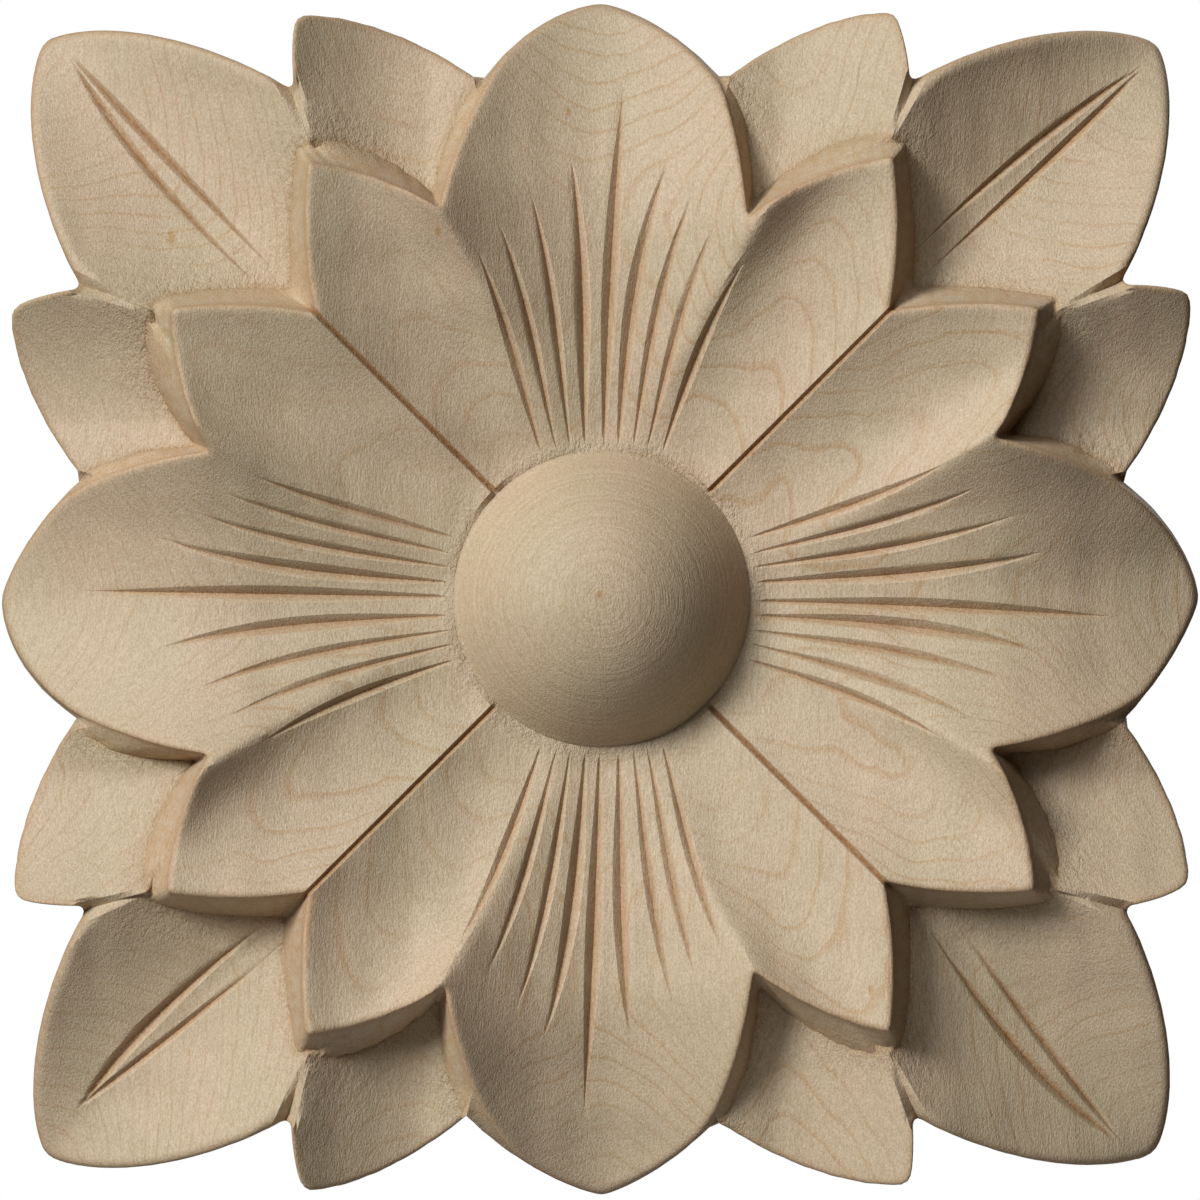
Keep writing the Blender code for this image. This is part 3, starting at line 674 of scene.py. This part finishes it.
def eighth_net(eighth):
    """Turn, reach, height and marks of every crossing over one eighth, from the boss down."""
    flower = flower_rows(eighth)
    leaves, on_petal = leaf_rows(eighth)
    edge, foot = flower[-1].copy(), leaves[0].copy()
    below_petal = edge[2] - PETAL_EDGE_DROP
    for leaf in leaves:
        leaf[2] = np.where(on_petal, below_petal, leaf[2])
    foot[2] = leaves[0][2]
    shifts = np.linspace(-LEVEL_TURN, LEVEL_TURN, LEVEL_STEPS)
    level = np.mean([np.interp(foot[0] + shift, foot[0], foot[2]) for shift in shifts], axis=0)
    near = np.exp(-((foot[0] - SIDE_TIP[eighth][0] + VALLEY_START) / LEVEL_WIDTH) ** 2)
    foot[2] = foot[2] + near * (level - foot[2])
    wall = []
    for part in np.linspace(0.0, 1.0, WALL_ROWS + 2)[1:-1]:
        turn, reach, height = (edge + (foot - edge) * part)[:3]
        at_foot = np.where(on_petal, 0.0, part ** WALL_FOOT_POWER)
        wall.append(row(turn, reach, height, wall=1.0, rough=part ** WALL_ROUGH_POWER, foot=at_foot))
    turn, reach, height = leaves[-1][:3]
    side = [row(turn, reach, height + (BACK - height) * part, wall=1.0)
            for part in np.linspace(0.0, 1.0, BACK_ROWS + 1)[1:]]
    return np.array(boss_rows(eighth) + flower + wall + leaves + side)


def whole_net():
    """The eight eighths side by side, clockwise; every second one is mirrored.

    Gives turn, reach, height and each mark as whole arrays of rows by columns.
    """
    nets = []
    for eighth in range(EIGHTHS):
        net = np.moveaxis(eighth_net(eighth), 1, -1)
        _, side = petal_and_side(eighth)
        net[..., 0] = 2.0 * DIAGONAL * ((eighth + 1) // 2) + side * net[..., 0]
        nets.append(net[:, :-1] if side > 0 else net[:, :0:-1])
    return np.moveaxis(np.concatenate(nets, axis=1), -1, 0)


def hand_waves(across, up):
    """Unevenness over the face: a sum of sine waves that run in all directions."""
    chance = np.random.default_rng(SEED)
    height = np.zeros_like(across)
    for length, tall in zip(WAVE_LENGTHS, WAVE_HEIGHTS):
        for way, start in chance.uniform(0.0, 2.0 * math.pi, (WAVES_EACH, 2)):
            along = across * math.cos(way) + up * math.sin(way)
            height += tall / math.sqrt(WAVES_EACH) * np.sin(2.0 * math.pi * along / length + start)
    return height


def net_faces(rows, columns):
    """Four-sided faces between neighbouring rows of a net that closes on itself sideways."""
    corner = np.arange(rows * columns).reshape(rows, columns)
    beside = np.roll(corner, -1, axis=1)
    return np.stack((corner[:-1], beside[:-1], beside[1:], corner[1:]), axis=-1).reshape(-1, 4)


def fan_faces(ring, middle):
    """Three-sided faces from each edge of a ring of corners to one point in its middle."""
    return np.stack((ring, np.roll(ring, -1), np.full(len(ring), middle)), axis=-1)


def carve_rosette():
    """One closed surface: the net, a point on top of the boss and a point in the middle of the back."""
    turn, reach, height, *marks = whole_net()
    turn = np.radians(turn)
    across, up = reach * np.sin(turn), reach * np.cos(turn)
    uneven = hand_waves(across, up) * (1.0 - BOSS_CALM * marks[MARKS.index("boss")])
    uneven[-BACK_ROWS:] = 0.0
    height = height + uneven
    points = np.stack((across, BACK - height, up), axis=-1).reshape(-1, 3)
    rows, columns = turn.shape
    top = rows * columns
    points = np.concatenate((points, [(0.0, BACK - BOSS_HEIGHT, 0.0), (0.0, 0.0, 0.0)])) * METRES
    faces = net_faces(rows, columns).tolist()
    faces += fan_faces(np.arange(columns), top).tolist()
    faces += fan_faces(np.arange(top - columns, top), top + 1).tolist()
    mesh = bpy.data.meshes.new("carved_rosette")
    mesh.from_pydata(points.tolist(), [], faces)
    for name, values in zip(MARKS, marks):
        ends = (1.0, 0.0) if name == "boss" else (0.0, 0.0)
        mark = mesh.attributes.new(name, "FLOAT", "POINT")
        mark.data.foreach_set("value", np.concatenate((values.ravel(), ends)))
    shell = bmesh.new()
    shell.from_mesh(mesh)
    bmesh.ops.remove_doubles(shell, verts=shell.verts, dist=WELD * METRES)
    bmesh.ops.triangulate(shell, faces=shell.faces)
    bmesh.ops.recalc_face_normals(shell, faces=shell.faces)
    shell.to_mesh(mesh)
    shell.free()
    mesh.shade_smooth()
    mesh.set_sharp_from_angle(angle=math.radians(SHARP_TURN))
    rosette = bpy.data.objects.new("carved_rosette", mesh)
    bpy.context.scene.collection.objects.link(rosette)
    return rosette


def node(tree, kind, inputs, out=0, **settings):
    """Adds a node, sets it, and gives one of its outputs. An input is a value or another output."""
    made = tree.nodes.new("ShaderNode" + kind)
    for name, value in settings.items():
        setattr(made, name, value)
    for place, value in inputs.items():
        if isinstance(value, bpy.types.NodeSocket):
            tree.links.new(value, made.inputs[place])
        else:
            made.inputs[place].default_value = value
    return made.outputs[out]


def maths(tree, how, first, second=0.0):
    """One step of arithmetic on one or two numbers."""
    return node(tree, "Math", {0: first, 1: second}, operation=how)


def stretched(tree, place, sizes):
    """The place in units of these sizes, in millimetres, across, through and up the wood."""
    return node(tree, "VectorMath", {0: place, 1: [1.0 / (size * METRES) for size in sizes]},
                operation="MULTIPLY")


def noise(tree, place, sizes, detail=2.0, roughness=0.5):
    """Cloudy pattern from 0 to 1 with patches of about these sizes in millimetres."""
    return node(tree, "TexNoise", {"Vector": stretched(tree, place, sizes), "Scale": 1.0,
                                   "Detail": detail, "Roughness": roughness})


def ranged(tree, value, low, high, to_low=0.0, to_high=1.0):
    """Value between low and high, spread between to_low and to_high and held there beyond."""
    return node(tree, "MapRange", {"Value": value, "From Min": low, "From Max": high,
                                   "To Min": to_low, "To Max": to_high})


def tinted(tree, share, colour, tint, how="MIX"):
    """The colour, by a share of 0 to 1 mixed with the tint or multiplied by it."""
    return node(tree, "Mix", {0: share, 6: colour, 7: tint}, out=2, data_type="RGBA", blend_type=how)


def mark(tree, name):
    """One of the marks that the carving left on its corners, from 0 to 1."""
    return node(tree, "Attribute", {}, out=2, attribute_name=name)


def ring_lines(tree, place):
    """Growth rings: thin layers one above another through the wood, bent a little by clouds.

    Depth through the wood, less a slow bend across and a cloudy shift, is counted in ring widths;
    the share of a ring that is left over is dark just before the next whole number.
    """
    across, through = (node(tree, "SeparateXYZ", {0: place}, out=axis) for axis in (0, 1))
    bent = maths(tree, "MULTIPLY", maths(tree, "MULTIPLY", across, across), RING_BEND / METRES)
    cloud = maths(tree, "MULTIPLY", noise(tree, place, RING_CLOUD), RING_SHIFT * METRES)
    small = maths(tree, "MULTIPLY", noise(tree, place, RING_RIPPLE), RING_RIPPLE_SHIFT * METRES)
    depth = maths(tree, "ADD", maths(tree, "ADD", through, bent), maths(tree, "ADD", cloud, small))
    count = maths(tree, "DIVIDE", depth, RING_WIDTH * METRES)
    left = maths(tree, "FRACT", count)
    line = maths(tree, "MULTIPLY", ranged(tree, left, 0.78, 0.96), ranged(tree, left, 1.0, 0.95))
    strength = noise(tree, place, RING_STRENGTH)
    return maths(tree, "MULTIPLY", line, ranged(tree, strength, 0.40, 0.62, 0.3, 1.0))


def turned_marks(tree, place):
    """Fine circles that sanding left on the boss: a cloudy pattern that depends on reach alone."""
    across, up = (node(tree, "SeparateXYZ", {0: place}, out=axis) for axis in (0, 2))
    flat = node(tree, "CombineXYZ", {0: across, 2: up})
    reach = node(tree, "VectorMath", {0: flat}, out=1, operation="LENGTH")
    line = node(tree, "CombineXYZ", {0: reach})
    return noise(tree, line, CIRCLES, 3.0, 0.6)


def maple():
    """Bare maple: a pale warm ground, growth rings, upright fibres, patches and pins, with cuts, walls
    and walls' feet darkened partly as end grain and partly as painted shade.
    """
    wood = bpy.data.materials.new("maple")
    wood.use_nodes = True
    tree = wood.node_tree
    shader = tree.nodes["Principled BSDF"]
    place = node(tree, "TexCoord", {}, out=3)
    cut, rim, wall, boss, rough, foot = (mark(tree, name) for name in MARKS)
    patches = noise(tree, place, PATCHES, 3.0)
    drift = maths(tree, "MULTIPLY", noise(tree, place, FIBRE_DRIFT), FIBRE_SHIFT * METRES)
    drifted = node(tree, "VectorMath", {0: place, 1: drift}, operation="ADD")
    fibres = noise(tree, drifted, FIBRES, 3.0, 0.6)
    speckle = noise(tree, place, SPECKLES, 1.0, 0.5)
    colour = tinted(tree, ranged(tree, patches, 0.35, 0.65), YELLOWISH, PINKISH)
    off_boss = ranged(tree, boss, 0.0, 1.0, 0.9, 0.3)
    ring_share = maths(tree, "MULTIPLY", ring_lines(tree, place), off_boss)
    across = node(tree, "SeparateXYZ", {0: place})
    ring_share = maths(tree, "MULTIPLY", ring_share, ranged(tree, across, *RING_FADE, 0.9, 1.0))
    colour = tinted(tree, ring_share, colour, RING_TINT, "MULTIPLY")
    colour = tinted(tree, ranged(tree, fibres, 0.40, 0.70, 0.0, 0.9), colour, FIBRE_TINT, "MULTIPLY")
    colour = tinted(tree, ranged(tree, speckle, 0.38, 0.62, 0.0, 1.0), colour, SPECKLE_TINT, "MULTIPLY")
    beads = noise(tree, place, BEADS, 2.0)
    # End grain and painted shade: cuts, flutes and slits darken more towards the bottom of each groove
    cut_grain_and_shade = maths(tree, "MULTIPLY", cut, ranged(tree, beads, 0.35, 0.6, 0.65, 1.0))
    colour = tinted(tree, cut_grain_and_shade, colour, CUT_GRAIN_AND_SHADE, "MULTIPLY")
    streaks = noise(tree, place, STREAKS, 3.0)
    # End grain and painted shade: the walls under the flower's edge darken in streaks
    wall_grain_and_shade = maths(tree, "MULTIPLY", wall, ranged(tree, streaks, 0.35, 0.65))
    colour = tinted(tree, wall_grain_and_shade, colour, WALL_GRAIN_AND_SHADE, "MULTIPLY")
    # A faint real line and painted shade: the crease at each wall's foot darkens
    foot_line_and_shade = maths(tree, "MULTIPLY", foot, ranged(tree, beads, 0.30, 0.55, 0.4, 1.0))
    colour = tinted(tree, foot_line_and_shade, colour, FOOT_LINE_AND_SHADE, "MULTIPLY")
    colour = tinted(tree, rim, colour, RIM_TINT, "MULTIPLY")
    circles = maths(tree, "MULTIPLY", turned_marks(tree, place), boss)
    colour = tinted(tree, ranged(tree, circles, 0.4, 0.7, 0.0, 0.8), colour, FIBRE_TINT, "MULTIPLY")
    for across, up, size in PINS:
        tall = PIN_LENGTH * size
        here = stretched(tree, place, (size, THROUGH_ALL, tall))
        pin = (across / size, 0.0, up / tall)
        gap = node(tree, "VectorMath", {0: here, 1: pin}, out=1, operation="DISTANCE")
        colour = tinted(tree, ranged(tree, gap, 1.0, 0.3, 0.0, 0.7), colour, PIN_TINT, "MULTIPLY")
    tree.links.new(colour, shader.inputs["Base Color"])
    shader.inputs["Roughness"].default_value = ROUGHNESS
    shader.inputs["Specular IOR Level"].default_value = SHEEN
    relief = maths(tree, "MULTIPLY", maths(tree, "ADD", fibres, speckle), 0.6)
    relief = maths(tree, "ADD", relief, circles)
    grain = node(tree, "Bump", {"Height": relief, "Strength": 0.9, "Distance": GRAIN_DEPTH * METRES})
    fuzz = maths(tree, "MULTIPLY", noise(tree, place, FUZZ, 4.0, 0.75), rough)
    bump = node(tree, "Bump", {"Height": fuzz, "Strength": 1.0, "Distance": FUZZ_DEPTH * METRES,
                               "Normal": grain})
    tree.links.new(bump, shader.inputs["Normal"])
    return wood


def add_camera():
    """The photograph's view: square on to the face, from far enough to see hardly any side."""
    lens = bpy.data.cameras.new("camera")
    lens.sensor_width = FILM_WIDTH
    lens.lens = LENS
    camera = bpy.data.objects.new("camera", lens)
    camera.location = CAMERA_PLACE
    camera.rotation_euler = (math.radians(90.0), 0.0, 0.0)
    bpy.context.scene.collection.objects.link(camera)
    bpy.context.scene.camera = camera


def add_lamp(name, clockwise, height, energy, spread, colour):
    """A far lamp: its turn clockwise from straight above, its height above the face, its softness."""
    turn, height = math.radians(clockwise), math.radians(height)
    way = Vector((math.sin(turn) * math.cos(height), -math.sin(height),
                  math.cos(turn) * math.cos(height)))
    lamp = bpy.data.lights.new(name, "SUN")
    lamp.energy = energy
    lamp.angle = math.radians(spread)
    lamp.color = colour
    holder = bpy.data.objects.new(name, lamp)
    holder.rotation_euler = way.to_track_quat("Z", "Y").to_euler()
    bpy.context.scene.collection.objects.link(holder)


def add_light():
    """A soft lamp high on the left, two weaker ones, one from behind and an even glow all round."""
    for lamp in LAMPS:
        add_lamp(*lamp)
    world = bpy.data.worlds.new("studio")
    bpy.context.scene.world = world
    world.use_nodes = True
    tree = world.node_tree
    seen = node(tree, "LightPath", {})
    tree.links.new(tinted(tree, seen, GLOW, BACKDROP), tree.nodes["Background"].inputs[0])
    bpy.context.scene.view_settings.view_transform = "Standard"


def add_floor():
    """A plain pale floor well below the piece."""
    mesh = bpy.data.meshes.new("floor")
    left, front, right, back = FLOOR_EDGES
    corners = [(left, front), (right, front), (right, back), (left, back)]
    mesh.from_pydata([(across, along, FLOOR_HEIGHT) for across, along in corners], [], [(0, 1, 2, 3)])
    floor = bpy.data.objects.new("floor", mesh)
    bpy.context.scene.collection.objects.link(floor)
    paint = bpy.data.materials.new("floor")
    paint.use_nodes = True
    paint.node_tree.nodes["Principled BSDF"].inputs["Base Color"].default_value = FLOOR_PAINT
    mesh.materials.append(paint)


rosette = carve_rosette()
rosette.data.materials.append(maple())
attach(rosette, "root")
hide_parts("rosette")
add_camera()
add_light()
add_floor()
